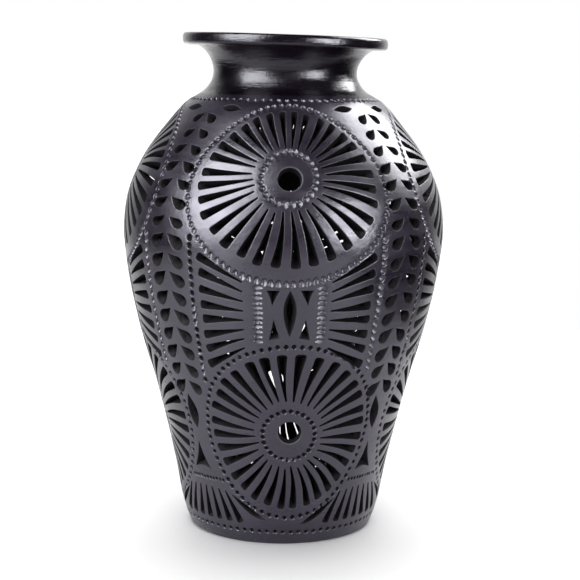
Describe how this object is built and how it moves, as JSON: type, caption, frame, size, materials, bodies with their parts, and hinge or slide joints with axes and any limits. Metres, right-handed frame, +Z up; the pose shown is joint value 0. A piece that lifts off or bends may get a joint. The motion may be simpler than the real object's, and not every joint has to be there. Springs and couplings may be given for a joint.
{
  "type": "pierced clay vase",
  "caption": "Shouldered black clay vase with a pierced, carved wall, a short burnished neck and a turned-out lip; it stands on a flat foot.",
  "frame": {"origin": "centre of the foot's underside, on the floor", "axes": "+Z up the pot's axis to the mouth; -Y out through the middle of one carved panel"},
  "size_m": [0.178, 0.178, 0.273],
  "materials": {
    "carved_clay": "unglazed smoke-fired clay, rubbed to a satin dark grey",
    "burnished_clay": "unglazed smoke-fired clay, stone-burnished to a gloss near black"
  },
  "bodies": {
    "root": {"base_disc": "carved_clay", "foot_ring": "carved_clay", "lower_course": "carved_clay", "middle_course": "carved_clay", "waist_course": "carved_clay", "belly_course": "carved_clay", "shoulder_course": "carved_clay", "neck_base": "burnished_clay", "neck_flare": "burnished_clay", "rim_lip": "burnished_clay"}
  },
  "joints": []
}
